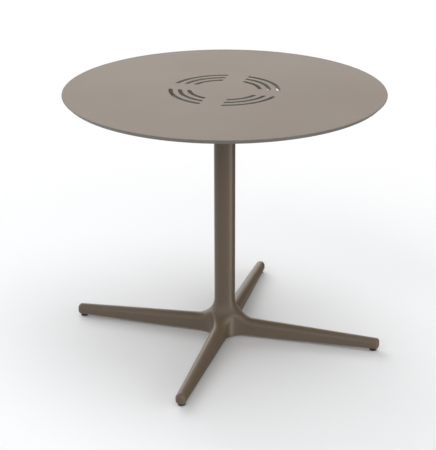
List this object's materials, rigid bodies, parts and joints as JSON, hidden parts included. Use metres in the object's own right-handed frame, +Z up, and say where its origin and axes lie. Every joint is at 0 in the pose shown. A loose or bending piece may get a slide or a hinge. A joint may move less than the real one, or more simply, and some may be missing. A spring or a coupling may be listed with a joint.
{
  "type": "garden table",
  "caption": "Round pedestal garden table: thin compact laminate top with curved drain slots, slim round column and a star base of tapered arms with screw levelling feet.",
  "frame": {"origin": "on the floor, under the middle of the top", "axes": "+Z up along the column, +X along the right arm of the base, +Y along the back arm"},
  "size_m": [0.927, 0.927, 0.75],
  "materials": {
    "top_laminate": "matt taupe compact laminate, grey core at the edges",
    "frame_coat": "satin taupe powder coat",
    "plated_steel": "zinc plated",
    "black_plastic": "matt moulded"
  },
  "bodies": {
    "table": {"table_top": "top_laminate", "top_inserts": "plated_steel", "top_spider": "frame_coat", "spider_screws": "plated_steel", "spider_washers": "plated_steel", "column_tube": "frame_coat", "tie_rod": "plated_steel", "upper_rod_nut": "plated_steel", "upper_rod_washer": "plated_steel", "lower_rod_nut": "plated_steel", "lower_rod_washer": "plated_steel", "base_star": "frame_coat", "hub_cap": "black_plastic", "foot_bush_right": "plated_steel", "foot_bush_back": "plated_steel", "foot_bush_left": "plated_steel", "foot_bush_front": "plated_steel"},
    "right_pad": {"foot_pad_right": "black_plastic"},
    "right_stud": {"foot_stud_right": "plated_steel"},
    "back_pad": {"foot_pad_back": "black_plastic"},
    "back_stud": {"foot_stud_back": "plated_steel"},
    "left_pad": {"foot_pad_left": "black_plastic"},
    "left_stud": {"foot_stud_left": "plated_steel"},
    "front_pad": {"foot_pad_front": "black_plastic"},
    "front_stud": {"foot_stud_front": "plated_steel"}
  },
  "joints": [
    {"name": "right_foot_height", "type": "slide", "parent": "table", "child": "right_pad", "axis": [0, 0, -1], "range_m": [0, 0.01]},
    {"name": "right_foot_turn", "type": "hinge", "parent": "right_pad", "child": "right_stud", "pos_m": [0.4465, 0, 0], "axis": [0, 0, -1], "range_deg": [0, 2880]},
    {"name": "back_foot_height", "type": "slide", "parent": "table", "child": "back_pad", "axis": [0, 0, -1], "range_m": [0, 0.01]},
    {"name": "back_foot_turn", "type": "hinge", "parent": "back_pad", "child": "back_stud", "pos_m": [0, 0.4465, 0], "axis": [0, 0, -1], "range_deg": [0, 2880]},
    {"name": "left_foot_height", "type": "slide", "parent": "table", "child": "left_pad", "axis": [0, 0, -1], "range_m": [0, 0.01]},
    {"name": "left_foot_turn", "type": "hinge", "parent": "left_pad", "child": "left_stud", "pos_m": [-0.4465, 0, 0], "axis": [0, 0, -1], "range_deg": [0, 2880]},
    {"name": "front_foot_height", "type": "slide", "parent": "table", "child": "front_pad", "axis": [0, 0, -1], "range_m": [0, 0.01]},
    {"name": "front_foot_turn", "type": "hinge", "parent": "front_pad", "child": "front_stud", "pos_m": [0, -0.4465, 0], "axis": [0, 0, -1], "range_deg": [0, 2880]}
  ],
  "couplings": [
    {"joint": "right_foot_turn", "follows": "right_foot_height", "rad_per_m": 5026.5},
    {"joint": "back_foot_turn", "follows": "back_foot_height", "rad_per_m": 5026.5},
    {"joint": "left_foot_turn", "follows": "left_foot_height", "rad_per_m": 5026.5},
    {"joint": "front_foot_turn", "follows": "front_foot_height", "rad_per_m": 5026.5}
  ]
}
